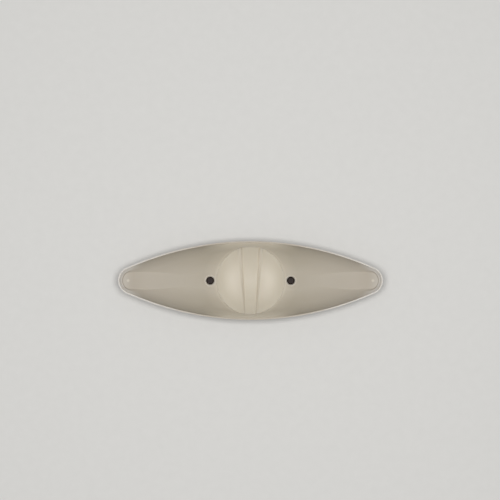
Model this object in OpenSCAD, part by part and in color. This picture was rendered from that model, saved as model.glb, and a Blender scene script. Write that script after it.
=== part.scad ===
// Spoke wheel light: an almond-shaped frosted body with a two-lobed push button in the middle,
// clamped to one wheel spoke by a plate on its back that two long screws draw up.
// The light lies on its back: +X along the body, +Y across it, +Z out of the lit face.
// The origin is under the middle, on the flat back of the clamp plate.

/* [Body] */
// Length over the rim
body_length = 122; // [112:1:134]
// Width over the rim
body_width = 36.2; // [35.4:0.2:38]
// Radius of the rounded tips
tip_radius = 6.5; // [5.5:0.5:8]
// Width of the rim that stands out all round
rim_width = 0.6; // [0.4:0.1:0.8]
// Thickness of the front shell's rim
rim_height = 1.2; // [0.8:0.1:1.4]
// Wall of both shells
wall = 1.6; // [1.3:0.1:1.8]
// Slope of the front shell's sides where they leave the rim, in degrees
side_slope = 63; // [62:0.5:66]
// Radius of the swell that carries the sides up to the flat top
swell_radius = 14; // [13.6:0.1:14.6]
// Depth of the flat top below the highest line of the swells
top_sink = 0.02; // [0.01:0.01:0.05]
// Distance from the middle at which the top begins to fall towards the tips
ridge_start = 28; // [26:1:32]
// Radius of the ridge that falls to a tip
ridge_radius = 85; // [80:1:95]

/* [Back shell] */
// Depth of the back shell below the parting face
back_depth = 3.4; // [3:0.1:4.2]
// Thickness of the back shell's rim
back_rim_height = 1.2; // [1:0.1:1.4]
// Lean of the back shell's side wall from upright, in degrees
back_lean = 35; // [20:1:40]
// Width of the seal ring between the shells
seal_width = 0.8; // [0.6:0.1:0.9]
// Height of the seal ring
seal_height = 0.6; // [0.4:0.1:0.7]
// Distance of the seal ring from the outer edge of the rim
seal_inset = 0.7; // [0.6:0.05:0.75]

/* [Spoke clamp] */
// Diameter of the wheel spoke
spoke_diameter = 2; // [1.8:0.1:2.3]
// Gap that a spoke leaves between the plate and the back shell
clamp_gap = 0.6; // [0.5:0.1:1]
// Length of the clamp plate and of the saddle that it faces
plate_length = 64; // [58:1:76]
// Width of the clamp plate and of the saddle
plate_width = 25; // [22:1:27]
// Tip radius of the clamp plate and of the saddle
plate_tip_radius = 6; // [5:0.5:7]
// Thickness of the clamp plate
plate_thickness = 4; // [3.8:0.1:5]
// Lean of the clamp plate's edge from upright, in degrees
plate_lean = 15; // [0:1:25]
// Bevel round the clamp plate's back
plate_bevel = 0.6; // [0.3:0.1:0.8]
// Height of the saddle on the back shell
saddle_height = 1; // [0.8:0.1:1.4]
// Length of the rubber pad along the body
pad_length = 14; // [10:1:18]
// Width of the rubber pad across the body
pad_width = 19; // [15:1:20]
// Thickness of the rubber pad
pad_thickness = 1.8; // [1.5:0.1:2.2]
// Depth of the coring pockets in the plate's back
core_depth = 2.2; // [1:0.1:2.6]
// Rib between a coring pocket and the pad's seat
core_rib = 1; // [0.8:0.1:1.5]
// Wall between a coring pocket and a nut
core_wall = 2; // [1.5:0.1:2.5]
// Edge that the coring pockets leave along the plate's long sides
core_edge = 3.5; // [3:0.1:4.5]

/* [Screws] */
// Distance between the two screws
screw_spacing = 37; // [36.8:0.1:40]
// Diameter of the screw's thread
screw_diameter = 2; // [1.8:0.1:2.2]
// Length of the screw under its head
screw_length = 15.4; // [15.2:0.1:15.6]
// Diameter of the screw's head
head_diameter = 3.4; // [3.2:0.1:3.6]
// Height of the screw's head
head_height = 1.4; // [1:0.1:1.6]
// Height of the bevel on the head's edge
head_bevel = 0.45; // [0.2:0.05:0.6]
// Depth of the cross recess in the head
recess_depth = 0.8; // [0.5:0.1:0.9]
// Length of the cross recess
recess_length = 2; // [1.6:0.1:2.2]
// Width of the cross recess
recess_width = 0.6; // [0.5:0.05:0.8]
// Bevel round the mouth of a screw's bore
bore_bevel = 0.4; // [0.2:0.05:0.45]
// Wall of a screw boss round the head's bore
boss_wall = 0.35; // [0.3:0.05:0.4]
// Width of the nut across its flats
nut_flats = 4; // [3.8:0.1:4.4]
// Height of the nut
nut_height = 1.6; // [1.2:0.1:1.8]
// Thickness of the plate over the nut
nut_cover = 1; // [0.9:0.1:1.6]
// Height of the screw's end above the plate's back
screw_end = 0.3; // [0:0.1:0.5]

/* [Button] */
// Diameter of the button
button_diameter = 31; // [29:0.2:31.2]
// Height of the button's lobes above the flat top
button_rise = 2; // [1.8:0.1:2.6]
// Wall of the button
button_wall = 1.5; // [1.2:0.1:1.6]
// Distance between the tops of the two lobes
lobe_spacing = 17.6; // [15:0.2:19]
// Radius of each lobe along the body
lobe_radius = 14; // [13:0.5:16]
// Radius of each lobe across the body
lobe_cross_radius = 25.7; // [25.3:0.1:26.4]
// Half width of the band between the lobes, in the middle
band_half_width = 3.4; // [3:0.1:4]
// Half width that the band gains for each millimetre towards +Y
band_flare = 0.055; // [0:0.001:0.07]
// Depth of the band below the edges of the lobes
band_recess = 0.15; // [0.05:0.05:0.3]
// Width of the crease on each side of the band
crease_width = 0.9; // [0.6:0.1:1.2]
// Depth of the crease
crease_depth = 0.4; // [0.3:0.05:0.5]
// Travel of the button
button_travel = 0.5; // [0.3:0.05:0.6]
// Depth of the button's skirt below the edge of its opening at the sides
skirt_depth = 0.8; // [0.7:0.1:1]
// Height of the four tabs that hold the button in
tab_height = 1.4; // [1:0.1:1.6]
// Reach of the tabs past the skirt
tab_reach = 1.1; // [0.8:0.1:1.2]
// Length of the post under the button that meets the switch's plunger
post_length = 0.2; // [0.15:0.05:0.3]
// Reach of the button's post past the switch's plunger
post_reach = 0.25; // [0.1:0.05:0.4]

/* [Electronics] */
// Diameter of a coin cell
cell_diameter = 20; // [19:0.5:20.5]
// Thickness of a coin cell
cell_thickness = 1.6; // [1.4:0.1:1.7]
// Height of the step round a cell's cap
cap_height = 0.25; // [0.15:0.05:0.4]
// Width of the step round a cell's cap
cap_step = 1.2; // [0.8:0.1:1.6]
// Thickness of the contact sheet
contact_thickness = 0.3; // [0.2:0.05:0.4]
// Diameter of a contact's disc
contact_diameter = 14; // [12:0.5:15]
// Width of a contact's strip
strip_width = 3; // [2:0.1:4]
// Wall of the cell holder
holder_wall = 1.8; // [1.4:0.1:1.9]
// Diameter of the round middle of the board
board_diameter = 24.8; // [24.8:0.1:25]
// Length of the board over its two arms
board_length = 48; // [46:1:54]
// Width of the board's arms
arm_width = 11; // [9:0.5:12]
// Thickness of the board
board_thickness = 1; // [0.8:0.1:1.2]
// Width of the push switch
switch_width = 6; // [5:0.5:7]
// Height of the push switch's case
switch_height = 3.5; // [3:0.1:3.7]
// Diameter of the switch's plunger
plunger_diameter = 3.5; // [3:0.1:4]
// Depth of the plunger's well in the switch's case
plunger_depth = 2; // [1.8:0.1:2.2]
// Diameter of an LED's lens
led_diameter = 5; // [4:0.5:5]
// Length of an LED from its collar to its tip
led_length = 8.6; // [7:0.1:9.5]
// Thickness of an LED's leads
lead_thickness = 0.5; // [0.4:0.05:0.6]
// Distance between an LED's leads
lead_pitch = 2.54; // [2:0.02:3]
// Length of an LED's collar
collar_length = 1; // [0.8:0.1:1.2]
// Reach of an LED's collar past its lens
collar_reach = 0.4; // [0.3:0.05:0.5]
// Length of an LED's leads inside its collar
lead_root = 0.6; // [0.5:0.05:0.8]
// Length of the controller chip
chip_length = 4.9; // [4.5:0.1:5.5]
// Width of the controller chip
chip_width = 3.9; // [3.5:0.1:4.2]
// Height of the controller chip
chip_height = 1.4; // [1.2:0.1:1.6]
// Distance between the chip's legs
leg_pitch = 1.27; // [1.1:0.01:1.3]
// Width of a chip's leg
leg_width = 0.4; // [0.3:0.05:0.5]
// Length of a chip's leg
leg_length = 1; // [0.8:0.1:1.2]
// Thickness of a chip's leg
leg_thickness = 0.25; // [0.2:0.05:0.3]
// Length of a resistor and of the capacitor
block_length = 3.2; // [2.8:0.1:3.4]
// Width of a resistor and of the capacitor
block_width = 1.6; // [1.2:0.1:1.8]
// Height of a resistor
resistor_height = 0.6; // [0.5:0.05:0.8]
// Height of the capacitor
capacitor_height = 1.2; // [0.8:0.1:1.4]

/* [Clearances] */
// Gap round the button
button_gap = 0.08; // [0.07:0.01:0.2]
// Gap round a screw in its holes
screw_gap = 0.15; // [0.1:0.05:0.25]
// Gap round the thread in the nut
thread_gap = 0.05; // [0.02:0.01:0.1]
// Gap round a screw's head
head_gap = 0.2; // [0.15:0.05:0.3]
// Gap round a piece that drops into its pocket
drop_gap = 0.1; // [0.05:0.05:0.2]
// Gap between faces that meet or slide
face_gap = 0.05; // [0.02:0.01:0.1]
// Gap between pieces that must stay clear of each other
free_gap = 0.3; // [0.2:0.05:0.5]
// Gap that the grip leaves round a spoke
grip_gap = 0.05; // [0:0.01:0.1]

/* [Hidden] */
$fn = 96;

// Heights of the layers, from the clamp plate's back upwards
z_plate = plate_thickness;
z_spoke = z_plate + clamp_gap / 2;
z_saddle = z_plate + clamp_gap;
z_back = z_saddle + saddle_height;
z_floor = z_back + wall;
z_part = z_back + back_depth;
z_rim = z_part + rim_height;
z_cells = z_floor + contact_thickness;
z_cells_top = z_cells + 2 * cell_thickness;
z_board = z_cells_top + contact_thickness;
z_board_top = z_board + board_thickness;
z_switch = z_board_top + switch_height;

// Screws, nuts and their bosses
screw_x = screw_spacing / 2;
screw_r = screw_diameter / 2;
hole_r = screw_r + screw_gap;
head_r = head_diameter / 2;
z_seat = screw_end + screw_length;
bore_r = head_r + head_gap;
boss_r = bore_r + boss_wall;
nut_r = nut_flats / 2 / cos(30);
z_nut = z_plate - nut_cover - nut_height;

// Outline of the body and the swell of its sides
// How far a tip stands proud of the side arcs where they meet
tip_blend = 0.05;
tip_x = body_length / 2 - tip_radius;
side_r = side_radius(body_length, body_width, tip_radius);
side_y = side_r - body_width / 2;
swell_run = swell_radius * sin(side_slope);
swell_r = side_r - rim_width - swell_run;
z_swell = z_rim - swell_radius * cos(side_slope);
z_top = z_swell + swell_radius - top_sink;
far = body_length;
cut = 1;

// Button
button_r = button_diameter / 2;
opening_r = button_r + button_gap;
lobe_x = lobe_spacing / 2;
z_button = z_top + button_rise;
z_lobe = z_button - lobe_cross_radius;
lobe_ring = lobe_cross_radius - lobe_radius;
band_radius = lobe_ring + sqrt(pow(lobe_radius, 2) - pow(lobe_x - band_half_width, 2)) - band_recess;
z_under = z_lobe + band_radius - crease_depth - button_wall;
z_plunger = z_under - post_length;
z_foot = z_switch - plunger_depth + button_travel + drop_gap;
z_skirt = side_z(0, opening_r, 0) - skirt_depth;
z_opening = z_skirt - button_travel - free_gap;
tab_angle = 35;
tab_half_angle = 7;
tab_r = button_r + tab_reach;
tab_corner = tab_angle + tab_half_angle;
z_tab = side_z(tab_r * cos(tab_corner), tab_r * sin(tab_corner), wall) - free_gap;

// Board parts
arm_x = board_length / 2;
led_z = z_board_top + lead_thickness / 2;
led_x = arm_x + lead_root;
collar_r = led_diameter / 2 + collar_reach;

// Height of the front shell over its axis, or of its inside at a depth below it
function ridge_z(x, depth) = min(z_top - depth, z_top + top_sink - ridge_radius
    + sqrt(pow(ridge_radius - depth, 2) - pow(max(abs(x) - ridge_start, 0), 2)));

// Height of the sides over a point, or of their inside at a depth below them
function side_z(x, y, depth) =
    z_swell + sqrt(pow(swell_radius - depth, 2) - pow(norm([x, abs(y) + side_y]) - swell_r, 2));

// Radius of the long side arcs of an almond of length l, width w and tip radius r.
// They would be tangent to a tip a hair smaller, so that side and tip cross cleanly.
function side_radius(l, w, r) =
    (pow(l / 2 - r, 2) + pow(w / 2, 2) - pow(r - tip_blend, 2)) / (w - 2 * (r - tip_blend));

// Almond standing on z = 0: two long arcs with a round tip at each end.
// The sides lean in by the given angle as they rise.
module almond(l, w, r, h, lean = 0) {
    arc_r = side_radius(l, w, r);
    tip_h = min(h, r / tan(lean));
    intersection() {
        intersection_for (s = [-1, 1]) translate([0, s * (arc_r - w / 2), 0])
            cylinder(h = h, r1 = arc_r, r2 = arc_r - h * tan(lean), $fn = 360);
        linear_extrude(h) between_tips(l, w, r);
    }
    for (s = [-1, 1]) translate([s * (l / 2 - r), 0, 0])
        cylinder(h = tip_h, r1 = r, r2 = r - tip_h * tan(lean));
}

// Region of an almond's long arcs, up to where its tips take over
module between_tips(l, w, r) {
    arc_r = side_radius(l, w, r);
    end_x = l / 2 - r;
    corner_x = end_x + end_x * w / arc_r;
    corner_y = (arc_r - w / 2) * w / arc_r;
    polygon([[end_x, 0], [corner_x, corner_y], [-corner_x, corner_y],
        [-end_x, 0], [-corner_x, -corner_y], [corner_x, -corner_y]]);
}

// The body's almond, drawn in from the rim by a distance
module body_almond(inset, h, lean = 0) {
    almond(body_length - 2 * inset, body_width - 2 * inset, tip_radius - inset, h, lean);
}

// The clamp plate's almond, which is the saddle's too, drawn in by a distance
module plate_almond(inset, h, lean = 0) {
    almond(plate_length - 2 * inset, plate_width - 2 * inset, plate_tip_radius - inset, h, lean);
}

// Profile of one side, out from the middle of its arc: a block that clears the top, then the swell
module side_profile(depth, z_low) intersection() {
    union() {
        translate([swell_r, z_swell]) circle(swell_radius - depth, $fn = 360);
        translate([swell_r - body_width, z_swell]) square([body_width, swell_radius + cut]);
    }
    translate([swell_r - body_width, z_low]) square([2 * body_width, far]);
}

// Profile of a tip, out from its middle: the same swell, brought in to the tip's radius
module tip_profile(depth, z_low) intersection() {
    translate([tip_radius - rim_width - swell_run, z_swell]) circle(swell_radius - depth, $fn = 360);
    translate([0, z_low]) square([tip_radius, far]);
}

// Profile of the top along the body: flat in the middle, falling in an arc to each tip
module top_profile(depth) intersection() {
    union() {
        for (s = [-1, 1]) translate([s * ridge_start, z_top + top_sink - ridge_radius])
            circle(ridge_radius - depth, $fn = 720);
        translate([-ridge_start, 0]) square([2 * ridge_start, z_top + top_sink / 2 - depth]);
    }
    translate([-far, 0]) square([2 * far, z_top - depth]);
}

// Upper body from a height upwards: two swelling sides with a round tip at each end,
// cut by a top that is flat across. At a depth it is the inside of the wall.
module hood(depth, z_low) {
    sweep = asin(body_length / side_r);
    intersection() {
        union() {
            intersection() {
                intersection_for (a = [-90, 90]) rotate(a) translate([-side_y, 0, 0])
                    rotate_extrude(angle = 2 * sweep, start = -sweep, $fn = 360) side_profile(depth, z_low);
                linear_extrude(far) between_tips(body_length, body_width, tip_radius);
            }
            for (s = [-1, 1]) translate([s * tip_x, 0, 0]) rotate_extrude() tip_profile(depth, z_low);
        }
        translate([0, far / 2, 0]) rotate([90, 0, 0]) linear_extrude(far) top_profile(depth);
    }
}

// Places its children at both screws
module at_screws() {
    for (s = [-1, 1]) translate([s * screw_x, 0, 0]) children();
}

// Half channel that grips a spoke across the body
module spoke_channel(gap) {
    translate([0, 0, z_spoke]) rotate([90, 0, 0])
        cylinder(h = far, r = spoke_diameter / 2 + gap, center = true);
}

// Frosted front shell: rim, swelling sides and ridge, hollow, open for the button
module front_shell() color([0.78, 0.75, 0.70]) {
    boss_top = (ridge_z(screw_x - boss_r, wall) + ridge_z(screw_x + boss_r, 0)) / 2;
    z_mouth = ridge_z(screw_x, 0);
    difference() {
        union() {
            difference() {
                union() {
                    translate([0, 0, z_part]) body_almond(0, rim_height);
                    hood(0, z_rim - face_gap);
                }
                hood(wall, z_part - free_gap);
            }
            at_screws() translate([0, 0, z_board_top + face_gap])
                cylinder(h = boss_top - z_board_top - face_gap, r = boss_r);
        }
        translate([0, 0, z_opening]) cylinder(h = far, r = opening_r);
        at_screws() cylinder(h = far, r = hole_r);
        at_screws() translate([0, 0, z_seat - face_gap]) cylinder(h = far, r = bore_r);
        at_screws() translate([0, 0, z_mouth - bore_bevel])
            cylinder(h = 2 * bore_bevel, r1 = bore_r, r2 = bore_r + 2 * bore_bevel);
    }
}

// Back shell: rim with a seal groove, leaning wall, flat back and the saddle that meets the spoke
module back_shell() color([0.76, 0.73, 0.68]) {
    groove = seal_inset - drop_gap;
    z_lip = z_part - back_rim_height;
    difference() {
        union() {
            difference() {
                union() {
                    translate([0, 0, z_lip]) body_almond(0, back_rim_height);
                    translate([0, 0, z_lip]) mirror([0, 0, 1])
                        body_almond(rim_width, back_depth - back_rim_height, back_lean);
                    translate([0, 0, z_saddle]) plate_almond(0, saddle_height);
                }
                translate([0, 0, z_part]) mirror([0, 0, 1])
                    body_almond(rim_width + wall, back_depth - wall, back_lean);
                translate([0, 0, z_part - seal_height]) difference() {
                    body_almond(groove, far);
                    body_almond(groove + seal_width + 2 * drop_gap, far);
                }
            }
            at_screws() translate([0, 0, z_back]) cylinder(h = z_board - face_gap - z_back, r = boss_r);
        }
        at_screws() cylinder(h = far, r = hole_r);
        spoke_channel(grip_gap);
    }
}

// Rubber ring in the back shell's groove, against the front shell's rim
module shell_seal() color([0.25, 0.25, 0.26]) translate([0, 0, z_part - seal_height]) difference() {
    body_almond(seal_inset, seal_height);
    translate([0, 0, -seal_height]) body_almond(seal_inset + seal_width, far);
}

// Outline of the band between the lobes, widened by a distance on each side
module band_outline(spread) {
    half = band_half_width + spread;
    lean = band_flare * far;
    polygon([[-half - lean, far], [-half + lean, -far], [half - lean, -far], [half + lean, far]]);
}

// Block that holds the button's lobes, sunk by a depth
module lobes(depth) {
    for (s = [-1, 1]) translate([s * lobe_x, 0, z_lobe]) rotate([0, 90, 0]) rotate_extrude()
        intersection() {
            translate([lobe_ring, 0]) circle(lobe_radius - depth);
            translate([0, -far]) square([far, 2 * far]);
        }
}

// Block that holds the button's middle band, sunk by a depth
module band(depth) {
    translate([0, 0, z_lobe]) rotate([0, 90, 0])
        cylinder(h = lobe_spacing, r = band_radius - depth, center = true);
}

// Crease cutter: a ring of V section that follows each side of the band over the button
module creases() {
    rim = band_radius + cut;
    spread = crease_width / crease_depth * (crease_depth + cut) / 2;
    for (s = [-1, 1]) translate([0, 0, z_lobe]) rotate(-s * atan(band_flare))
        translate([s * band_half_width, 0, 0]) rotate([0, 90, 0]) rotate_extrude()
            polygon([[band_radius - crease_depth, 0], [rim, spread], [rim, -spread]]);
}

// Push button: two lobes and a middle band parted by creases, on a skirt with four tabs
module push_button() color([0.83, 0.80, 0.73]) {
    inside = crease_depth + button_wall;
    skirt_r = button_r - button_wall;
    notch = arm_width / 2 + free_gap;
    difference() {
        union() {
            intersection() {
                translate([0, 0, z_skirt]) cylinder(h = z_button - z_skirt, r = button_r);
                difference() {
                    union() {
                        difference() {
                            lobes(0);
                            linear_extrude(far) band_outline(-crease_width / 4);
                        }
                        intersection() {
                            band(0);
                            linear_extrude(far) band_outline(crease_width / 4);
                        }
                    }
                    creases();
                }
            }
            for (a = [tab_angle, 180 - tab_angle, 180 + tab_angle, 360 - tab_angle])
                translate([0, 0, z_tab - tab_height])
                    rotate_extrude(angle = 2 * tab_half_angle, start = a - tab_half_angle)
                        translate([skirt_r + button_wall / 2, 0])
                            square([tab_reach + button_wall / 2, tab_height]);
        }
        intersection() {
            cylinder(h = far, r = skirt_r);
            union() {
                lobes(inside);
                band(inside);
            }
        }
        translate([-far, -notch, z_skirt - cut])
            cube([2 * far, 2 * notch, z_board_top + button_travel + free_gap - z_skirt + cut]);
    }
    translate([0, 0, z_plunger + face_gap])
        cylinder(h = post_length + button_wall / 2, r = plunger_diameter / 2 + post_reach);
}

// Board: a round middle under the button with an arm to each LED
module circuit_board() color([0.10, 0.32, 0.18]) translate([0, 0, z_board])
    linear_extrude(board_thickness) difference() {
        union() {
            circle(d = board_diameter);
            square([board_length, arm_width], center = true);
        }
        for (s = [-1, 1]) translate([s * screw_x, 0]) circle(hole_r);
    }

// Case of the push switch, bored for its plunger
module tact_switch() color([0.16, 0.16, 0.17]) {
    difference() {
        translate([-switch_width / 2, -switch_width / 2, z_board_top])
            cube([switch_width, switch_width, switch_height]);
        translate([0, 0, z_switch - plunger_depth])
            cylinder(h = far, d = plunger_diameter + 2 * drop_gap);
    }
}

// Plunger of the push switch, under the button's post
module switch_plunger() color([0.12, 0.12, 0.12])
    translate([0, 0, z_foot]) cylinder(h = z_plunger - z_foot, d = plunger_diameter);

// LED lying on the end of the board's arm, its lens pointing down the wing
module led(side) {
    lens_r = led_diameter / 2;
    mirror([side < 0 ? 1 : 0, 0, 0]) translate([led_x, 0, led_z]) {
        rotate([0, 90, 0]) {
            cylinder(h = collar_length, r = collar_r);
            cylinder(h = led_length - lens_r, r = lens_r);
        }
        translate([led_length - lens_r, 0, 0]) sphere(lens_r);
        for (s = [-1, 1])
            translate([-lead_pitch - lead_root, (s * lead_pitch - lead_thickness) / 2, -lead_thickness / 2])
                cube([lead_pitch + 2 * lead_root, lead_thickness, lead_thickness]);
    }
}

module led_left() color([0.92, 0.92, 0.90]) led(-1);

module led_right() color([0.92, 0.92, 0.90]) led(1);

// Controller chip with a row of legs on each long side
module controller_chip() color([0.08, 0.08, 0.09]) {
    leg_y = chip_width / 2 + leg_length / 4;
    translate([0, board_diameter / 3, z_board_top]) {
        translate([-chip_length / 2, -chip_width / 2, leg_thickness / 2])
            cube([chip_length, chip_width, chip_height]);
        for (s = [-1, 1], i = [-1.5:1.5])
            translate([i * leg_pitch - leg_width / 2, s * leg_y - leg_length / 2, 0])
                cube([leg_width, leg_length, leg_thickness]);
    }
}

// Two surface resistors, one for each LED
module resistors() color([0.15, 0.15, 0.16]) {
    for (s = [-1, 1]) translate([s * (switch_width / 2 + block_length), 0, z_board_top])
        translate([-block_length / 2, -block_width / 2, 0])
            cube([block_length, block_width, resistor_height]);
}

// Surface capacitor beside the switch
module capacitor() color([0.62, 0.52, 0.38]) {
    translate([-block_length / 2, -board_diameter / 3 - block_width / 2, z_board_top])
        cube([block_length, block_width, capacitor_height]);
}

// Coin cell: a can with its smaller cap on top
module coin_cell(z) {
    translate([0, 0, z]) {
        cylinder(h = cell_thickness - cap_height, d = cell_diameter);
        cylinder(h = cell_thickness, d = cell_diameter - 2 * cap_step);
    }
}

module coin_cell_lower() color([0.75, 0.76, 0.78]) coin_cell(z_cells);

module coin_cell_upper() color([0.75, 0.76, 0.78]) coin_cell(z_cells + cell_thickness);

// Sheet contact: a disc against a cell with a strip out through the holder's slot
module contact(z, side) {
    reach = board_diameter / 2 - contact_thickness;
    translate([0, 0, z]) {
        cylinder(h = contact_thickness, d = contact_diameter);
        translate([-strip_width / 2, min(0, side * reach), 0])
            cube([strip_width, reach, contact_thickness]);
    }
}

// Contact between the upper cell and the board
module positive_contact() color([0.80, 0.72, 0.45]) contact(z_cells_top, 1);

// Contact under the lower cell, with a strip that rises to the board's edge
module negative_contact() color([0.80, 0.72, 0.45]) {
    reach = board_diameter / 2 - contact_thickness;
    contact(z_floor, -1);
    translate([-strip_width / 2, -reach, z_floor])
        cube([strip_width, contact_thickness, z_board - z_floor]);
}

// Ring that centres the cells on the back shell's floor and carries the board
module cell_holder() color([0.82, 0.82, 0.80]) {
    inner_r = cell_diameter / 2 + drop_gap;
    slot = strip_width + 2 * free_gap;
    difference() {
        translate([0, 0, z_floor]) cylinder(h = z_board - z_floor, r = inner_r + holder_wall);
        cylinder(h = far, r = inner_r);
        translate([-slot / 2, -far, 0]) cube([slot, far, far]);
        translate([-slot / 2, 0, z_cells_top - free_gap]) cube([slot, far, far]);
    }
}

// Clamp plate on the back: nut pockets, coring pockets and the seat of the rubber pad
module clamp_plate() color([0.70, 0.68, 0.64]) {
    pad = [pad_length + 2 * drop_gap, pad_width + 2 * drop_gap, 2 * pad_thickness];
    core_x = pad_length / 2 + core_rib;
    core_far = screw_x - nut_r - core_wall;
    core_y = plate_width / 2 - core_edge;
    side = plate_thickness - plate_bevel;
    difference() {
        union() {
            translate([0, 0, z_plate]) mirror([0, 0, 1]) plate_almond(0, side, plate_lean);
            translate([0, 0, plate_bevel]) mirror([0, 0, 1])
                plate_almond(side * tan(plate_lean), plate_bevel, 45);
        }
        translate([0, 0, z_plate]) cube(pad, center = true);
        spoke_channel(free_gap);
        at_screws() translate([0, 0, -cut]) cylinder(h = far, r = hole_r);
        at_screws() translate([0, 0, -cut])
            cylinder(h = z_nut + nut_height + cut, r = nut_r + drop_gap, $fn = 6);
        for (s = [-1, 1]) translate([s > 0 ? core_x : -core_far, -core_y, -cut])
            cube([core_far - core_x, 2 * core_y, core_depth + cut]);
    }
}

// Rubber pad in the plate, grooved for the spoke
module spoke_pad() color([0.14, 0.14, 0.14]) difference() {
    translate([-pad_length / 2, -pad_width / 2, z_plate - pad_thickness])
        cube([pad_length, pad_width, pad_thickness]);
    spoke_channel(grip_gap);
}

// Long screw with a pan head and a cross recess
module clamp_screw(side) {
    z_bevel = z_seat + head_height - head_bevel;
    z_recess = z_seat + head_height - recess_depth;
    translate([side * screw_x, 0, 0]) difference() {
        union() {
            translate([0, 0, screw_end]) cylinder(h = screw_length + head_bevel, r = screw_r);
            translate([0, 0, z_seat]) cylinder(h = head_height - head_bevel, r = head_r);
            translate([0, 0, z_bevel]) cylinder(h = head_bevel, r1 = head_r, r2 = head_r - head_bevel);
        }
        for (a = [0, 90]) rotate(a) translate([-recess_length / 2, -recess_width / 2, z_recess])
            cube([recess_length, recess_width, head_height]);
    }
}

module clamp_screw_left() color([0.15, 0.13, 0.12]) clamp_screw(-1);

module clamp_screw_right() color([0.15, 0.13, 0.12]) clamp_screw(1);

// Two nuts held in the plate's pockets
module clamp_nuts() color([0.72, 0.72, 0.74]) at_screws() translate([0, 0, z_nut]) difference() {
    cylinder(h = nut_height - face_gap, r = nut_r, $fn = 6);
    translate([0, 0, -cut]) cylinder(h = far, r = screw_r + thread_gap);
}

front_shell();
back_shell();
shell_seal();
push_button();
circuit_board();
tact_switch();
switch_plunger();
led_left();
led_right();
controller_chip();
resistors();
capacitor();
coin_cell_lower();
coin_cell_upper();
positive_contact();
negative_contact();
cell_holder();
clamp_plate();
spoke_pad();
clamp_screw_left();
clamp_screw_right();
clamp_nuts();
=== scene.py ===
import bpy
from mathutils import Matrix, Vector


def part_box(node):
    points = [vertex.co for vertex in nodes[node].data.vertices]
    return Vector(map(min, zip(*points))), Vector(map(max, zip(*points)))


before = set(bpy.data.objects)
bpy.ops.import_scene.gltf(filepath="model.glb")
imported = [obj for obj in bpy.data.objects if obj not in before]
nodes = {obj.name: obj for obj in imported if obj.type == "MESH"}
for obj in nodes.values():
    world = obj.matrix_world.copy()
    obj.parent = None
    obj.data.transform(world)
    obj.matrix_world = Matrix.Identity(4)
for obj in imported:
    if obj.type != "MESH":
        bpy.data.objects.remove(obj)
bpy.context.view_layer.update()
scene = bpy.context.scene


# Studio: a sheet of pale matt paper for a floor, with fibres that only just show.
# The lamp is one large soft box above, and an even sky fills the shadows.
# Objects are placed in metres, and patterns are sized in millimetres.
def linear(hex_colour):
    """Linear RGBA of an sRGB hex value such as "b3aa9e"."""
    parts = [int(hex_colour[i:i + 2], 16) / 255 for i in (0, 2, 4)]
    return [c / 12.92 if c <= 0.04045 else ((c + 0.055) / 1.055) ** 2.4 for c in parts] + [1.0]


def add_node(tree, kind, values=None, links=None, **settings):
    """Adds one node: settings are its own properties, values its sockets, links what feeds them."""
    node = tree.nodes.new(kind)
    for key, value in settings.items():
        setattr(node, key, value)
    for key, value in (values or {}).items():
        node.inputs[key].default_value = value
    for key, source in (links or {}).items():
        tree.links.new(source, node.inputs[key])
    return node


def finish(name, **values):
    """A new material with these values on its shader: returns it, its tree and the place in millimetres."""
    material = bpy.data.materials.new(name)
    material.use_nodes = True
    tree = material.node_tree
    for key, value in values.items():
        tree.nodes["Principled BSDF"].inputs[key.replace("_", " ")].default_value = value
    metres = add_node(tree, "ShaderNodeTexCoord").outputs["Object"]
    place = add_node(tree, "ShaderNodeVectorMath", {"Scale": mm_per_metre}, {0: metres}, operation="SCALE")
    return material, tree, place.outputs[0]


def feed(tree, **sources):
    """Links what the other nodes give to the shader's sockets of these names."""
    for key, source in sources.items():
        tree.links.new(source, tree.nodes["Principled BSDF"].inputs[key.replace("_", " ")])


mm_per_metre = 1000
floor_size = 3
# Paper fibres are finer than a pixel and are drawn coarser, so that they show.
fibre_size = 4
sky_strength = 0.26
lamp_length = 0.5
lamp_width = 0.4
lamp_place = (0, 0.02, 0.9)
lamp_watts = 6.4

bpy.ops.object.select_all(action="DESELECT")
bpy.ops.mesh.primitive_plane_add(size=floor_size)
floor = bpy.context.object
floor.name = "paper_floor"
paper, tree, place = finish("studio_paper", Roughness=0.9, Specular_IOR_Level=0.2)
fibre = add_node(tree, "ShaderNodeTexNoise", {"Scale": 1 / fibre_size, "Detail": 4}, {"Vector": place})
tone = add_node(tree, "ShaderNodeMix", {"A": linear("d3d2cf"), "B": linear("d8d7d4")},
                {"Factor": fibre.outputs["Fac"]}, data_type="RGBA")
feed(tree, Base_Color=tone.outputs["Result"])
floor.data.materials.append(paper)

world = bpy.data.worlds.new("even_sky")
world.use_nodes = True
sky = world.node_tree.nodes["Background"]
sky.inputs["Color"].default_value = linear("ffffff")
sky.inputs["Strength"].default_value = sky_strength
scene.world = world

softbox = bpy.data.lights.new("softbox", "AREA")
softbox.shape = "RECTANGLE"
softbox.size = lamp_length
softbox.size_y = lamp_width
softbox.energy = lamp_watts
softbox_object = bpy.data.objects.new("softbox", softbox)
softbox_object.location = lamp_place
scene.collection.objects.link(softbox_object)


# Camera: it looks straight down on the lit face, as the photograph does.
# The frame is 500 pixels square, and the body is 264.7 of them long.
photo_size = 500
photo_centre = (250.5, 280.5)
photo_length = 264.7
body_length = 0.122
metres_per_pixel = body_length / photo_length
camera_height = 1.6
camera = bpy.data.cameras.new("camera")
camera.sensor_width = 36
camera.lens = camera.sensor_width * camera_height / (photo_size * metres_per_pixel)
camera_object = bpy.data.objects.new("camera", camera)
camera_object.location = ((photo_size / 2 - photo_centre[0]) * metres_per_pixel,
                          (photo_centre[1] - photo_size / 2) * metres_per_pixel,
                          camera_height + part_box("front_shell")[0][2])
scene.collection.objects.link(camera_object)
scene.camera = camera_object
scene.view_settings.view_transform = "Standard"


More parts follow.
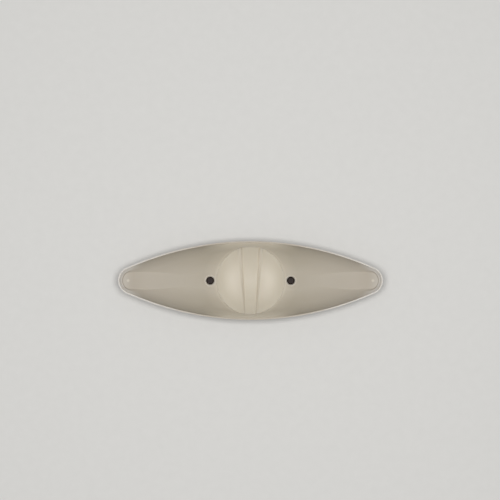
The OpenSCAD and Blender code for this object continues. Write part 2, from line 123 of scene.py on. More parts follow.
# Clamp plate: the outer half of the spoke clamp, moulded in the same frosted polycarbonate as the body.
# Its tool was spark-eroded, which leaves a fine dull grain, and thick places look a little clouded.
# The face that lies outermost is rubbed paler.
def put_on(names, material):
    """Gives CAD nodes a material."""
    for name in names:
        nodes[name].data.materials.clear()
        nodes[name].data.materials.append(material)


def frosted(name, dark, pale, rough):
    """Frosted polycarbonate: returns its material, its tree, the place and a clouded tone to build on."""
    cloud_size = 16
    # The eroded pits are about 0.05 mm across and are drawn coarser, so that they show.
    pit_size = 0.3
    pit_depth = 0.04
    rough_spread = 0.12
    material, tree, place = finish(name, IOR=1.585, Specular_IOR_Level=0.4, Subsurface_Weight=0.5,
                                   Subsurface_Radius=(1.0, 0.92, 0.82), Subsurface_Scale=0.002)
    cloud = add_node(tree, "ShaderNodeTexNoise", {"Scale": 1 / cloud_size, "Detail": 3}, {"Vector": place})
    tone = add_node(tree, "ShaderNodeMix", {"A": linear(dark), "B": linear(pale)},
                    {"Factor": cloud.outputs["Fac"]}, data_type="RGBA")
    pits = add_node(tree, "ShaderNodeTexNoise", {"Scale": 1 / pit_size, "Detail": 2}, {"Vector": place})
    gloss = add_node(tree, "ShaderNodeMapRange", {"To Min": rough, "To Max": rough + rough_spread},
                     {"Value": pits.outputs["Fac"]})
    bump = add_node(tree, "ShaderNodeBump", {"Strength": 0.2, "Distance": pit_depth / mm_per_metre},
                    {"Height": pits.outputs["Fac"]})
    feed(tree, Roughness=gloss.outputs["Result"], Normal=bump.outputs["Normal"])
    return material, tree, place, tone.outputs["Result"]


worn_height = 0.7
plate_finish, tree, place, tone = frosted("frosted_polycarbonate_plate", dark="a8a094", pale="b2a99d",
                                          rough=0.5)
height = add_node(tree, "ShaderNodeSeparateXYZ", links={0: place}).outputs["Z"]
edge = add_node(tree, "ShaderNodeMapRange", {"From Min": worn_height, "From Max": 0.0}, {"Value": height})
worn = add_node(tree, "ShaderNodeMix", {"B": linear("beb6aa")},
                {"Factor": edge.outputs["Result"], "A": tone}, data_type="RGBA")
feed(tree, Base_Color=worn.outputs["Result"])
put_on(["clamp_plate"], plate_finish)


# Spoke pad: a block of EPDM rubber that drops into the plate and bites on the spoke.
# It is moulded with shallow ribs across the spoke, and dust greys it in patches.
def mottled(name, patch_size, detail, colours, roughness, swirl=0.0, **values):
    """A finish that one noise varies between two colours and two roughnesses: returns what finish does."""
    material, tree, place = finish(name, **values)
    patches = add_node(tree, "ShaderNodeTexNoise",
                       {"Scale": 1 / patch_size, "Detail": detail, "Distortion": swirl}, {"Vector": place})
    tone = add_node(tree, "ShaderNodeMix", {"A": linear(colours[0]), "B": linear(colours[1])},
                    {"Factor": patches.outputs["Fac"]}, data_type="RGBA")
    gloss = add_node(tree, "ShaderNodeMapRange", {"To Min": roughness[0], "To Max": roughness[1]},
                     {"Value": patches.outputs["Fac"]})
    feed(tree, Base_Color=tone.outputs["Result"], Roughness=gloss.outputs["Result"])
    return material, tree, place


# A wave texture of scale 1 repeats every 0.314 units.
wave_period = 0.314
rib_spacing = 1.2
rib_depth = 0.1
dust_size = 1.5
pad_finish, tree, place = mottled("moulded_epdm_rubber", dust_size, detail=5,
                                  colours=("171716", "2b2a28"), roughness=(0.7, 0.9),
                                  Specular_IOR_Level=0.3)
ribs = add_node(tree, "ShaderNodeTexWave", {"Scale": wave_period / rib_spacing, "Distortion": 0.0},
                {"Vector": place}, wave_type="BANDS", bands_direction="Y", wave_profile="SIN")
bump = add_node(tree, "ShaderNodeBump", {"Strength": 0.5, "Distance": rib_depth / mm_per_metre},
                {"Height": ribs.outputs["Fac"]})
feed(tree, Normal=bump.outputs["Normal"])
put_on(["spoke_pad"], pad_finish)


# Clamp nuts: two M2 hexagon nuts of zinc-plated steel, dropped into the plate's pockets from behind.
# Their faces are turned, which leaves fine rings, and the plating is a cool bright grey.
def flat_offset(tree, place, middle):
    """Offset along X and Y from the nearer of two places, which lie at plus and minus middle on X."""
    part = add_node(tree, "ShaderNodeSeparateXYZ", links={0: place})
    side = add_node(tree, "ShaderNodeMath", links={0: part.outputs["X"]}, operation="ABSOLUTE")
    across = add_node(tree, "ShaderNodeMath", {1: middle}, {0: side.outputs[0]}, operation="SUBTRACT")
    offset = add_node(tree, "ShaderNodeCombineXYZ", links={"X": across.outputs[0], "Y": part.outputs["Y"]})
    return offset.outputs[0]


screw_low, screw_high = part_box("clamp_screw_right")
screw_place = (screw_low[0] + screw_high[0]) / 2 * mm_per_metre
# Turning leaves marks about 0.1 mm apart, which are drawn coarser, so that they show.
ring_spacing = 0.25
ring_depth = 0.03
stain_size = 0.8
nut_finish, tree, place = mottled("zinc_plated_steel", stain_size, detail=4,
                                  colours=("a9abad", "c6c8c9"), roughness=(0.26, 0.42), Metallic=1.0)
rings = add_node(tree, "ShaderNodeTexWave",
                 {"Scale": wave_period / ring_spacing, "Distortion": 0.4, "Detail": 2},
                 {"Vector": flat_offset(tree, place, screw_place)},
                 wave_type="RINGS", rings_direction="Z", wave_profile="SIN")
bump = add_node(tree, "ShaderNodeBump", {"Strength": 0.25, "Distance": ring_depth / mm_per_metre},
                {"Height": rings.outputs["Fac"]})
feed(tree, Normal=bump.outputs["Normal"])
put_on(["clamp_nuts"], nut_finish)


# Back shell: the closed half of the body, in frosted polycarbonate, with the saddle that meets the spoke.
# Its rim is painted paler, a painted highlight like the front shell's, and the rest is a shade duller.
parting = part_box("front_shell")[0][2] * mm_per_metre
back_rim_height = 1.2
back_rim_foot = parting - back_rim_height
back_rim_blend = 0.1
back_finish, tree, place, tone = frosted("frosted_polycarbonate_back", dark="aba296", pale="b5aca0",
                                         rough=0.5)
height = add_node(tree, "ShaderNodeSeparateXYZ", links={0: place}).outputs["Z"]
# Painted highlight: the rim, above back_rim_foot, is painted paler.
rim_light_mask = add_node(tree, "ShaderNodeMapRange",
               {"From Min": back_rim_foot - back_rim_blend, "From Max": back_rim_foot + back_rim_blend},
               {"Value": height})
painted_rim_highlight = add_node(tree, "ShaderNodeMix", {"B": linear("bdb7ad")},
                  {"Factor": rim_light_mask.outputs["Result"], "A": tone}, data_type="RGBA")
feed(tree, Base_Color=painted_rim_highlight.outputs["Result"])
put_on(["back_shell"], back_finish)


# Shell seal: a ring of silicone rubber that lies in the back shell's groove, against the front shell's rim.
# Silicone is soft, milky and a little greasy, with hardly any gloss.
bloom_size = 3
seal_finish = mottled("moulded_silicone", bloom_size, detail=3, colours=("c6c4bf", "d2d0ca"),
                      roughness=(0.5, 0.65), Subsurface_Weight=0.3, Subsurface_Scale=0.001,
                      Specular_IOR_Level=0.35)[0]
put_on(["shell_seal"], seal_finish)


# Cell holder: a ring of acetal that stands round the two coin cells and carries the board.
# Acetal is moulded white and waxy, with faint swirls where it flowed.
flow_size = 6
holder_finish = mottled("moulded_acetal", flow_size, detail=3, colours=("d4d2cb", "e0ded7"),
                        roughness=(0.35, 0.48), swirl=1.5, Subsurface_Weight=0.2,
                        Subsurface_Scale=0.001)[0]
put_on(["cell_holder"], holder_finish)


# Coin cells: two 20 mm lithium cells, one on the other, pressed from nickel-plated steel.
# The faces are brushed in circles, and a dark gasket shows between the can and its cap.
cap_radius = 8.8
gasket_half_width = 0.1
gasket_fade = 0.18
# Brushing leaves lines under 0.1 mm apart, which are drawn coarser, so that they show.
brush_spacing = 0.3
cell_finish, tree, place = finish("nickel_plated_steel", Metallic=1.0)
part = add_node(tree, "ShaderNodeSeparateXYZ", links={0: place})
flat = add_node(tree, "ShaderNodeCombineXYZ", links={"X": part.outputs["X"], "Y": part.outputs["Y"]})
radius = add_node(tree, "ShaderNodeVectorMath", links={0: flat.outputs[0]}, operation="LENGTH")
brush = add_node(tree, "ShaderNodeTexWave",
                 {"Scale": wave_period / brush_spacing, "Distortion": 1.0, "Detail": 3},
                 {"Vector": flat.outputs[0]}, wave_type="RINGS", rings_direction="Z", wave_profile="SIN")
away = add_node(tree, "ShaderNodeMath", {1: cap_radius}, {0: radius.outputs["Value"]}, operation="SUBTRACT")
near = add_node(tree, "ShaderNodeMath", links={0: away.outputs[0]}, operation="ABSOLUTE")
gasket = add_node(tree, "ShaderNodeMapRange", {"From Min": gasket_fade, "From Max": gasket_half_width},
                  {"Value": near.outputs[0]})
plate = add_node(tree, "ShaderNodeMix", {"A": linear("c3c1bb"), "B": linear("d3d1cb")},
                 {"Factor": brush.outputs["Fac"]}, data_type="RGBA")
tone = add_node(tree, "ShaderNodeMix", {"B": linear("2c2c2e")},
                {"Factor": gasket.outputs["Result"], "A": plate.outputs["Result"]}, data_type="RGBA")
gloss = add_node(tree, "ShaderNodeMapRange", {"To Min": 0.2, "To Max": 0.34},
                 {"Value": brush.outputs["Fac"]})
feed(tree, Base_Color=tone.outputs["Result"], Roughness=gloss.outputs["Result"])
put_on(["coin_cell_lower", "coin_cell_upper"], cell_finish)


# Contacts: a disc with a strip below the cells and another above them, stamped from brass sheet.
# Rolling drew the sheet out along the strips, and handling has browned it in patches.
# Rolling leaves streaks under 0.1 mm wide, which are drawn coarser, so that they show.
streak_width = 0.2
streak_length = 10
streak_depth = 0.02
tarnish_size = 5
brass, tree, place = finish("rolled_brass", Metallic=1.0)
drawn = add_node(tree, "ShaderNodeMapping", {"Scale": (1 / streak_width, 1 / streak_length, 1.0)},
                 {"Vector": place})
streaks = add_node(tree, "ShaderNodeTexNoise", {"Scale": 1.0, "Detail": 3}, {"Vector": drawn.outputs[0]})
tarnish = add_node(tree, "ShaderNodeTexNoise", {"Scale": 1 / tarnish_size, "Detail": 2}, {"Vector": place})
tone = add_node(tree, "ShaderNodeMix", {"A": linear("d9b96f"), "B": linear("b8924c")},
                {"Factor": tarnish.outputs["Fac"]}, data_type="RGBA")
gloss = add_node(tree, "ShaderNodeMapRange", {"To Min": 0.22, "To Max": 0.4},
                 {"Value": streaks.outputs["Fac"]})
bump = add_node(tree, "ShaderNodeBump", {"Strength": 0.15, "Distance": streak_depth / mm_per_metre},
                {"Height": streaks.outputs["Fac"]})
feed(tree, Base_Color=tone.outputs["Result"], Roughness=gloss.outputs["Result"],
     Normal=bump.outputs["Normal"])
put_on(["positive_contact", "negative_contact"], brass)


# Circuit board: 1 mm glass-epoxy laminate under a coat of green solder mask.
# Copper tracks lift the mask and show as paler lines, and the sawn edge is bare and straw-coloured.
track_pitch = 1.27
track_height = 0.04
# Tracks lie where a cell of the pattern is this far from its middle, as a share of the cell.
track_edge = 0.36
track_flat = 0.4
board_finish, tree, place = finish("masked_glass_epoxy_laminate", IOR=1.5)
facing = add_node(tree, "ShaderNodeTexCoord").outputs["Normal"]
upright = add_node(tree, "ShaderNodeSeparateXYZ", links={0: facing}).outputs["Z"]
face = add_node(tree, "ShaderNodeMath", links={0: upright}, operation="ABSOLUTE")
cells = add_node(tree, "ShaderNodeTexVoronoi", {"Scale": 1 / (2 * track_pitch), "Randomness": 0.6},
                 {"Vector": place}, distance="CHEBYCHEV", feature="F1")
copper = add_node(tree, "ShaderNodeMapRange", {"From Min": track_edge, "From Max": track_flat},
                  {"Value": cells.outputs["Distance"]})
mask = add_node(tree, "ShaderNodeMix", {"A": linear("175330"), "B": linear("24713f")},
                {"Factor": copper.outputs["Result"]}, data_type="RGBA")
tone = add_node(tree, "ShaderNodeMix", {"A": linear("a99b66")},
                {"Factor": face.outputs[0], "B": mask.outputs["Result"]}, data_type="RGBA")
gloss = add_node(tree, "ShaderNodeMapRange", {"To Min": 0.75, "To Max": 0.3}, {"Value": face.outputs[0]})
bump = add_node(tree, "ShaderNodeBump", {"Strength": 0.3, "Distance": track_height / mm_per_metre},
                {"Height": copper.outputs["Result"]})
feed(tree, Base_Color=tone.outputs["Result"], Roughness=gloss.outputs["Result"],
     Normal=bump.outputs["Normal"])
put_on(["circuit_board"], board_finish)


# Push switch: a 6 mm tactile switch with a black nylon case, soldered to the middle of the board.
# A thin steel cover is clenched over its top and shows as a bright plate round the plunger.
switch_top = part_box("tact_switch")[1][2] * mm_per_metre
cover_thickness = 0.35
cover_blend = 0.02
cover_edge = switch_top - cover_thickness
fleck_size = 0.4
switch_finish, tree, place = finish("moulded_nylon_with_steel_cover")
height = add_node(tree, "ShaderNodeSeparateXYZ", links={0: place}).outputs["Z"]
cover = add_node(tree, "ShaderNodeMapRange", {"From Min": cover_edge - cover_blend, "From Max": cover_edge},
                 {"Value": height})
flecks = add_node(tree, "ShaderNodeTexNoise", {"Scale": 1 / fleck_size, "Detail": 3}, {"Vector": place})
case = add_node(tree, "ShaderNodeMix", {"A": linear("161616"), "B": linear("242423")},
                {"Factor": flecks.outputs["Fac"]}, data_type="RGBA")
tone = add_node(tree, "ShaderNodeMix", {"B": linear("c2c2c0")},
                {"Factor": cover.outputs["Result"], "A": case.outputs["Result"]}, data_type="RGBA")
gloss = add_node(tree, "ShaderNodeMapRange", {"To Min": 0.62, "To Max": 0.3},
                 {"Value": cover.outputs["Result"]})
feed(tree, Base_Color=tone.outputs["Result"], Metallic=cover.outputs["Result"],
     Roughness=gloss.outputs["Result"])
put_on(["tact_switch"], switch_finish)


# Switch plunger: the round nylon stem that slides in the switch, under the post of the button.
# Its top is polished by the post, and its sides keep the dull face of the mould.
stem_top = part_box("switch_plunger")[1][2] * mm_per_metre
rubbed_depth = 0.2
stem_finish, tree, place = finish("moulded_nylon_stem")
height = add_node(tree, "ShaderNodeSeparateXYZ", links={0: place}).outputs["Z"]
rubbed = add_node(tree, "ShaderNodeMapRange", {"From Min": stem_top - rubbed_depth, "From Max": stem_top},
                  {"Value": height})
tone = add_node(tree, "ShaderNodeMix", {"A": linear("1c1c1c"), "B": linear("333231")},
                {"Factor": rubbed.outputs["Result"]}, data_type="RGBA")
gloss = add_node(tree, "ShaderNodeMapRange", {"To Min": 0.6, "To Max": 0.35},
                 {"Value": rubbed.outputs["Result"]})
feed(tree, Base_Color=tone.outputs["Result"], Roughness=gloss.outputs["Result"])
put_on(["switch_plunger"], stem_finish)


# LEDs: two 5 mm lamps that lie on the board's arms and shine down the wings.
# The lens is cast in diffused epoxy, milky and glossy, and the legs are tinned steel.
lens_start = 24.6
lens_blend = 0.02
haze_size = 2
led_finish, tree, place = finish("cast_diffused_epoxy", IOR=1.53, Subsurface_Weight=0.6,
                                 Subsurface_Scale=0.002)
along = add_node(tree, "ShaderNodeSeparateXYZ", links={0: place}).outputs["X"]
reach = add_node(tree, "ShaderNodeMath", links={0: along}, operation="ABSOLUTE")
leg = add_node(tree, "ShaderNodeMapRange",
               {"From Min": lens_start + lens_blend, "From Max": lens_start - lens_blend},
               {"Value": reach.outputs[0]})
haze = add_node(tree, "ShaderNodeTexNoise", {"Scale": 1 / haze_size, "Detail": 2}, {"Vector": place})
lens = add_node(tree, "ShaderNodeMix", {"A": linear("e2e2dd"), "B": linear("eeeeea")},
                {"Factor": haze.outputs["Fac"]}, data_type="RGBA")
tone = add_node(tree, "ShaderNodeMix", {"B": linear("bdbcb8")},
                {"Factor": leg.outputs["Result"], "A": lens.outputs["Result"]}, data_type="RGBA")
gloss = add_node(tree, "ShaderNodeMapRange", {"To Min": 0.15, "To Max": 0.35},
                 {"Value": leg.outputs["Result"]})
feed(tree, Base_Color=tone.outputs["Result"], Metallic=leg.outputs["Result"],
     Roughness=gloss.outputs["Result"])
put_on(["led_left", "led_right"], led_finish)


# Chips: the controller, two resistors and a capacitor, all soldered flat on the board.
# Bodies are black moulded epoxy, black glazed ceramic and tan fired ceramic. Their metal ends are tinned.
def tinned(name, dark, pale, rough, axis, middle, reach):
    """A chip's finish: its body's two tones, tinned where the axis is further than reach from a middle."""
    speck_size = 0.15
    tin_blend = 0.01
    tin_rough = 0.33
    material, tree, place = finish(name)
    along = add_node(tree, "ShaderNodeSeparateXYZ", links={0: place}).outputs[axis]
    side = add_node(tree, "ShaderNodeMath", links={0: along}, operation="ABSOLUTE")
    offset = add_node(tree, "ShaderNodeMath", {1: middle}, {0: side.outputs[0]}, operation="SUBTRACT")
    away = add_node(tree, "ShaderNodeMath", links={0: offset.outputs[0]}, operation="ABSOLUTE")
    tin = add_node(tree, "ShaderNodeMapRange",
                   {"From Min": reach - tin_blend, "From Max": reach + tin_blend},
                   {"Value": away.outputs[0]})
    specks = add_node(tree, "ShaderNodeTexNoise", {"Scale": 1 / speck_size, "Detail": 3}, {"Vector": place})
    body = add_node(tree, "ShaderNodeMix", {"A": linear(dark), "B": linear(pale)},
                    {"Factor": specks.outputs["Fac"]}, data_type="RGBA")
    tone = add_node(tree, "ShaderNodeMix", {"B": linear("c9c8c4")},
                    {"Factor": tin.outputs["Result"], "A": body.outputs["Result"]}, data_type="RGBA")
    gloss = add_node(tree, "ShaderNodeMapRange", {"To Min": rough, "To Max": tin_rough},
                     {"Value": tin.outputs["Result"]})
    feed(tree, Base_Color=tone.outputs["Result"], Metallic=tin.outputs["Result"],
         Roughness=gloss.outputs["Result"])
    return material


chip_low, chip_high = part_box("controller_chip")
chip_middle = abs(chip_low[1] + chip_high[1]) / 2 * mm_per_metre
chip_half_width = 1.95
block_length = 3.2
end_cap = 0.5
block_reach = block_length / 2 - end_cap
resistor_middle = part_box("resistors")[1][0] * mm_per_metre - block_length / 2
capacitor_low, capacitor_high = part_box("capacitor")
capacitor_middle = abs(capacitor_low[0] + capacitor_high[0]) / 2 * mm_per_metre
chip_finish = tinned("moulded_epoxy_compound", dark="141414", pale="232322", rough=0.65,
                     axis="Y", middle=chip_middle, reach=chip_half_width)
resistor_finish = tinned("glazed_ceramic", dark="121316", pale="1d1e22", rough=0.25,
                         axis="X", middle=resistor_middle, reach=block_reach)
capacitor_finish = tinned("fired_ceramic", dark="8a6a45", pale="9c7a52", rough=0.5,
                          axis="X", middle=capacitor_middle, reach=block_reach)
put_on(["controller_chip"], chip_finish)
put_on(["resistors"], resistor_finish)
put_on(["capacitor"], capacitor_finish)


# Front shell: the lit half of the body, a hollow almond of frosted polycarbonate that closes on the seal.
# Painted glow, as of light gathered in thick plastic, pales the rim, the tips and the edges of its
# openings.
# Painted shade darkens the walls low down and draws a fine line round each tip, and a small paler spot lies
# near each tip.
rim_height = 1.2
rim_top = parting + rim_height
shell_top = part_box("front_shell")[1][2] * mm_per_metre
# Each effect is whole at its full mark and gone at its fade mark. These marks are heights above the rim.
rim_full = 0.01
rim_fade = 0.06
glow_full = 0.5
glow_fade = 5.0
foot_full = 1.2
foot_fade = 3.6
# These marks are distances along the body from its middle.
wing_start = 18
wing_full = 46
wing_end = 56
button_full = 10
button_fade = 22
tip_fade = 53.5
tip_full = 57.5
foot_start = 48
foot_end = 58
# The painted shade line round each tip runs lap_radius from the centre of a tip's arc and, further in, from
# the middle line.
tip_centre = 54.5
lap_radius = 4.35
lap_half_width = 0.4
lap_edge = 0.1
# The openings for the button and the screws, the gap round the button, and the paler spot near each tip
opening_radius = 15.6
collar_width = 6
gap_full = 0.01
gap_fade = 0.1
gap_light_colour = "e8dcc6"
mouth_radius = 2.35
mouth_fade = 0.4
tip_spot_place = 56.3
tip_spot_core = 0.3
tip_spot_fade = 0.9
tip_spot_share = 0.8
front_finish, tree, place, tone = frosted("frosted_polycarbonate", dark="b8afa1", pale="beb5a7",
                                          rough=0.55)
part = add_node(tree, "ShaderNodeSeparateXYZ", links={0: place})
side = add_node(tree, "ShaderNodeMath", links={0: part.outputs["X"]}, operation="ABSOLUTE")

# Walls: darker and a little yellower towards the button, and darker low down, a painted shade
along = add_node(tree, "ShaderNodeMapRange", {"From Min": wing_start, "From Max": wing_end},
                 {"Value": side.outputs[0]})
middle_tint = add_node(tree, "ShaderNodeValToRGB", links={"Fac": along.outputs["Result"]})
middle_tint.color_ramp.elements[0].color = linear("e9e8e2")
for stop, colour in ((0.55, "f2f2f0"), (0.74, "f6f6f5")):
    middle_tint.color_ramp.elements.new(stop).color = linear(colour)
middle_tinted = add_node(tree, "ShaderNodeMix", {"Factor": 1.0}, {"A": tone, "B": middle_tint.outputs["Color"]},
                data_type="RGBA", blend_type="MULTIPLY")
rise = add_node(tree, "ShaderNodeMapRange", {"From Min": rim_top, "From Max": shell_top},
                {"Value": part.outputs["Z"]})
shade = add_node(tree, "ShaderNodeValToRGB", links={"Fac": rise.outputs["Result"]})
shade.color_ramp.elements[0].color = linear("e2e0dd")
shade.color_ramp.elements[1].position = 0.7
shade.color_ramp.elements.new(0.3).color = linear("f3f2f0")
wall_tone = add_node(tree, "ShaderNodeMix", {"Factor": 1.0},
                     {"A": middle_tinted.outputs["Result"], "B": shade.outputs["Color"]},
                     data_type="RGBA", blend_type="MULTIPLY")

# Painted glow, as of light gathered in thick plastic: low down beside the button and at the tips, and in a
# collar round the button's opening
low = add_node(tree, "ShaderNodeMapRange",
               {"From Min": rim_top + glow_fade, "From Max": rim_top + glow_full},
               {"Value": part.outputs["Z"]})
beside_button = add_node(tree, "ShaderNodeMapRange", {"From Min": button_fade, "From Max": button_full},
                         {"Value": side.outputs[0]})
at_tip = add_node(tree, "ShaderNodeMapRange", {"From Min": tip_fade, "From Max": tip_full},
                  {"Value": side.outputs[0]})
painted_glow_places = add_node(tree, "ShaderNodeMath",
                 links={0: beside_button.outputs["Result"], 1: at_tip.outputs["Result"]},
                 operation="MAXIMUM")
painted_glow_low = add_node(tree, "ShaderNodeMath", links={0: painted_glow_places.outputs[0], 1: low.outputs["Result"]},
                     operation="MULTIPLY")
radius = add_node(tree, "ShaderNodeVectorMath", links={0: flat_offset(tree, place, 0)}, operation="LENGTH")
off_edge = add_node(tree, "ShaderNodeMapRange",
                    {"From Min": opening_radius, "From Max": opening_radius + collar_width},
                    {"Value": radius.outputs["Value"]})
collar = add_node(tree, "ShaderNodeValToRGB", links={"Fac": off_edge.outputs["Result"]})
collar.color_ramp.elements[0].color = (0.5, 0.5, 0.5, 1)
collar.color_ramp.elements[1].color = (0, 0, 0, 1)
for stop, share in ((0.1, 0.4), (0.2, 0.2), (0.5, 0.14)):
    collar.color_ramp.elements.new(stop).color = (share, share, share, 1)
painted_glow = add_node(tree, "ShaderNodeMath", links={0: painted_glow_low.outputs[0], 1: collar.outputs["Color"]},
                 operation="MAXIMUM")
wing_share = add_node(tree, "ShaderNodeMapRange", {"From Min": wing_start, "From Max": wing_full},
                      {"Value": side.outputs[0]})
painted_glow_colour = add_node(tree, "ShaderNodeMix", {"A": linear("d0c6b3"), "B": linear("c8c2b8")},
                        {"Factor": wing_share.outputs["Result"]}, data_type="RGBA")
painted_glow_tone = add_node(tree, "ShaderNodeMix",
                      links={"Factor": painted_glow.outputs[0], "A": wall_tone.outputs["Result"],
                             "B": painted_glow_colour.outputs["Result"]}, data_type="RGBA")

# A line of painted shade round each tip, and painted light on the foot between it and the rim
past_centre = add_node(tree, "ShaderNodeMath", {1: tip_centre}, {0: side.outputs[0]}, operation="SUBTRACT")
in_tip = add_node(tree, "ShaderNodeMath", {1: 0.0}, {0: past_centre.outputs[0]}, operation="MAXIMUM")
tip_offset = add_node(tree, "ShaderNodeCombineXYZ", links={"X": in_tip.outputs[0], "Y": part.outputs["Y"]})
tip_distance = add_node(tree, "ShaderNodeVectorMath", links={0: tip_offset.outputs[0]}, operation="LENGTH")
lap = add_node(tree, "ShaderNodeMapRange",
               {"From Min": lap_radius - lap_half_width, "From Max": lap_radius + lap_half_width},
               {"Value": tip_distance.outputs["Value"]})
lap_shade_line = add_node(tree, "ShaderNodeValToRGB", links={"Fac": lap.outputs["Result"]})
lap_shade_line.color_ramp.elements[0].color = linear("ffffff")
for stop, colour in ((0.2, "ffffff"), (0.4, "c4beb6"), (0.6, "c4beb6"), (0.8, "ffffff")):
    lap_shade_line.color_ramp.elements.new(stop).color = linear(colour)
lap_shade_tone = add_node(tree, "ShaderNodeMix",
                    links={"Factor": at_tip.outputs["Result"], "A": painted_glow_tone.outputs["Result"],
                           "B": lap_shade_line.outputs["Color"]}, data_type="RGBA", blend_type="MULTIPLY")
past_lap = add_node(tree, "ShaderNodeMapRange",
                    {"From Min": lap_radius + lap_edge, "From Max": lap_radius + lap_half_width},
                    {"Value": tip_distance.outputs["Value"]})
toward_tip = add_node(tree, "ShaderNodeMapRange", {"From Min": foot_start, "From Max": foot_end},
                      {"Value": side.outputs[0]}, interpolation_type="SMOOTHSTEP")
foot_height = add_node(tree, "ShaderNodeMapRange",
                       {"From Min": rim_top + foot_fade, "From Max": rim_top + foot_full},
                       {"Value": part.outputs["Z"]}, interpolation_type="SMOOTHSTEP")
foot_place = add_node(tree, "ShaderNodeMath",
                      links={0: toward_tip.outputs["Result"], 1: foot_height.outputs["Result"]},
                      operation="MULTIPLY")
foot_light = add_node(tree, "ShaderNodeMath", links={0: past_lap.outputs["Result"], 1: foot_place.outputs[0]},
                operation="MULTIPLY")
# Painted light: the foot of each tip's wall is painted paler than its shading would leave it.
foot_light_tone = add_node(tree, "ShaderNodeMix", {"B": linear("cac4bb")},
                     {"Factor": foot_light.outputs[0], "A": lap_shade_tone.outputs["Result"]}, data_type="RGBA")

# Rim: a painted glow, paler along the wings than beside the button
painted_rim_glow = add_node(tree, "ShaderNodeMix", {"A": linear("b3aa9c"), "B": linear("cfcac2")},
                {"Factor": wing_share.outputs["Result"]}, data_type="RGBA")
rim_light_mask = add_node(tree, "ShaderNodeMapRange", {"From Min": rim_top + rim_fade, "From Max": rim_top + rim_full},
               {"Value": part.outputs["Z"]})
rim_glow_tone = add_node(tree, "ShaderNodeMix",
                    links={"Factor": rim_light_mask.outputs["Result"], "A": foot_light_tone.outputs["Result"],
                           "B": painted_rim_glow.outputs["Result"]}, data_type="RGBA")

# A paler spot near each tip, painted glow at the mouths of the screw holes, and painted light on the wall
# of the button's opening
tip_spot_distance = add_node(tree, "ShaderNodeVectorMath", links={0: flat_offset(tree, place, tip_spot_place)},
                         operation="LENGTH")
tip_spot = add_node(tree, "ShaderNodeMapRange",
                {"From Min": tip_spot_fade, "From Max": tip_spot_core, "To Max": tip_spot_share},
                {"Value": tip_spot_distance.outputs["Value"]})
tip_spot_tone = add_node(tree, "ShaderNodeMix", {"B": linear("d6cfc2")},
                     {"Factor": tip_spot.outputs["Result"], "A": rim_glow_tone.outputs["Result"]}, data_type="RGBA")
screw_distance = add_node(tree, "ShaderNodeVectorMath", links={0: flat_offset(tree, place, screw_place)},
                          operation="LENGTH")
mouth = add_node(tree, "ShaderNodeMapRange",
                 {"From Min": mouth_radius + mouth_fade, "From Max": mouth_radius},
                 {"Value": screw_distance.outputs["Value"]})
mouth_glow_tone = add_node(tree, "ShaderNodeMix", {"B": linear("c0b8aa")},
                      {"Factor": mouth.outputs["Result"], "A": tip_spot_tone.outputs["Result"]},
                      data_type="RGBA")
# Painted light pales the wall of the button's opening, against the shade of the gap.
gap_wall = add_node(tree, "ShaderNodeMapRange",
                    {"From Min": opening_radius + gap_fade, "From Max": opening_radius + gap_full},
                    {"Value": radius.outputs["Value"]})
gap_light_tone = add_node(tree, "ShaderNodeMix", {"B": linear(gap_light_colour)},
                    {"Factor": gap_wall.outputs["Result"], "A": mouth_glow_tone.outputs["Result"]},
                    data_type="RGBA")
feed(tree, Base_Color=gap_light_tone.outputs["Result"])
put_on(["front_shell"], front_finish)


# Push button: the two-lobed dome in the middle, of the same plastic with more white in it and a finer face.
# Tabs hold it under the shell's opening. Painted shade greys its thin edge and the band between the
# creases.
# Painted light pales the wall of the gap round it, the skirt's outer edge, and the creases' walls towards
# their upper end.
edge_start = 8
edge_full = 12.5
band_half_width = 3.6
band_blend = 0.6
band_share = 0.9
# The skirt is the outer edge. Its marks, and those of its upright side, lie this far in from its radius.
skirt_radius = 15.5
skirt_full = 0.1
skirt_fade = 0.9
side_full = 0.03
side_fade = 0.1
# Along Y, painted light begins to fill the creases at the first mark and fills them wholly at the second.
fill_start = -3.0
fill_end = 7.0
# A crease's outer wall faces inwards, so the outward share of its normal lies well below zero.
crease_start = -0.45
crease_full = -0.58
satin, tree, place, tone = frosted("satin_milky_polycarbonate", dark="cac1b0", pale="cfc6b5", rough=0.5)
part = add_node(tree, "ShaderNodeSeparateXYZ", links={0: place})
side = add_node(tree, "ShaderNodeMath", links={0: part.outputs["X"]}, operation="ABSOLUTE")
radius = add_node(tree, "ShaderNodeVectorMath", links={0: flat_offset(tree, place, 0)}, operation="LENGTH")
edge = add_node(tree, "ShaderNodeMapRange", {"From Min": edge_start, "From Max": edge_full},
                {"Value": radius.outputs["Value"]})
band = add_node(tree, "ShaderNodeMapRange",
                {"From Min": band_half_width + band_blend, "From Max": band_half_width - band_blend,
                 "To Max": band_share}, {"Value": side.outputs[0]})
painted_shade_mask = add_node(tree, "ShaderNodeMath", links={0: edge.outputs["Result"], 1: band.outputs["Result"]},
                operation="MAXIMUM")
painted_shade_tone = add_node(tree, "ShaderNodeMix", {"B": linear("c5bcaa")}, {"Factor": painted_shade_mask.outputs[0], "A": tone},
                data_type="RGBA")
# Painted light makes the skirt's outer edge a little paler, against the shade of the gap.
skirt = add_node(tree, "ShaderNodeMapRange",
                 {"From Min": skirt_radius - skirt_fade, "From Max": skirt_radius - skirt_full},
                 {"Value": radius.outputs["Value"]})
skirt_light_tone = add_node(tree, "ShaderNodeMix", {"B": linear("c9c0ae")},
                      {"Factor": skirt.outputs["Result"], "A": painted_shade_tone.outputs["Result"]}, data_type="RGBA")
# Painted light on the creases' outer walls, stronger towards their upper end.
facing = add_node(tree, "ShaderNodeTexCoord").outputs["Normal"]
facing_along = add_node(tree, "ShaderNodeSeparateXYZ", links={0: facing}).outputs["X"]
hand = add_node(tree, "ShaderNodeMath", links={0: part.outputs["X"]}, operation="SIGN")
outward = add_node(tree, "ShaderNodeMath", links={0: facing_along, 1: hand.outputs[0]},
                   operation="MULTIPLY")
crease_wall = add_node(tree, "ShaderNodeMapRange", {"From Min": crease_start, "From Max": crease_full},
                       {"Value": outward.outputs[0]})
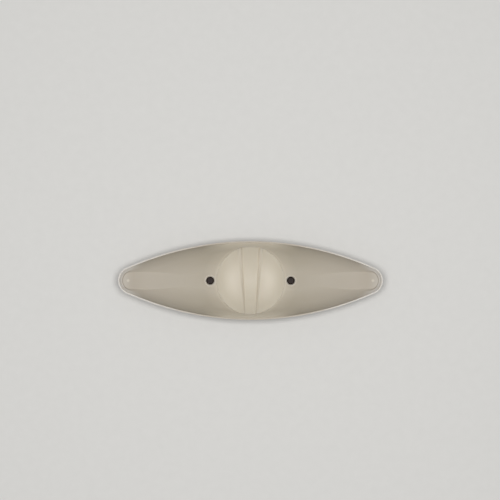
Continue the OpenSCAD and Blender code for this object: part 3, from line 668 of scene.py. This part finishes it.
upper = add_node(tree, "ShaderNodeMapRange", {"From Min": fill_start, "From Max": fill_end},
                 {"Value": part.outputs["Y"]})
painted_crease_light = add_node(tree, "ShaderNodeMath",
                links={0: crease_wall.outputs["Result"], 1: upper.outputs["Result"]},
                operation="MULTIPLY")
painted_crease_tone = add_node(tree, "ShaderNodeMix", {"B": linear("d2c9b8")},
                  {"Factor": painted_crease_light.outputs[0], "A": skirt_light_tone.outputs["Result"]}, data_type="RGBA")
# Painted light pales the skirt's upright side, the inner wall of the gap.
gap_wall = add_node(tree, "ShaderNodeMapRange",
                    {"From Min": skirt_radius - side_fade, "From Max": skirt_radius - side_full},
                    {"Value": radius.outputs["Value"]})
gap_light_tone = add_node(tree, "ShaderNodeMix", {"B": linear(gap_light_colour)},
                    {"Factor": gap_wall.outputs["Result"], "A": painted_crease_tone.outputs["Result"]},
                    data_type="RGBA")
feed(tree, Base_Color=gap_light_tone.outputs["Result"])
put_on(["push_button"], satin)


# Clamp screws: two long M2 machine screws of black-oxide steel that run through the body to the nuts.
# The oxide is nearly black and dull, with brown patches, and the rolled thread shows on the shanks.
thread_pitch = 0.4
thread_depth = 0.2
rub_size = 0.5
head_height = 1.4
head_seat = screw_high[2] * mm_per_metre - head_height
seat_blend = 0.1
oxide, tree, place = mottled("black_oxide_steel", rub_size, detail=4, colours=("1a110d", "2c1f19"),
                             roughness=(0.45, 0.65), Specular_IOR_Level=0.2)
height = add_node(tree, "ShaderNodeSeparateXYZ", links={0: place}).outputs["Z"]
thread = add_node(tree, "ShaderNodeTexWave", {"Scale": wave_period / thread_pitch, "Distortion": 0.0},
                  {"Vector": place}, wave_type="BANDS", bands_direction="Z", wave_profile="TRI")
shank = add_node(tree, "ShaderNodeMapRange", {"From Min": head_seat, "From Max": head_seat - seat_blend},
                 {"Value": height})
ridges = add_node(tree, "ShaderNodeMath", links={0: thread.outputs["Fac"], 1: shank.outputs["Result"]},
                  operation="MULTIPLY")
bump = add_node(tree, "ShaderNodeBump", {"Strength": 0.8, "Distance": thread_depth / mm_per_metre},
                {"Height": ridges.outputs[0]})
feed(tree, Normal=bump.outputs["Normal"])
put_on(["clamp_screw_left", "clamp_screw_right"], oxide)
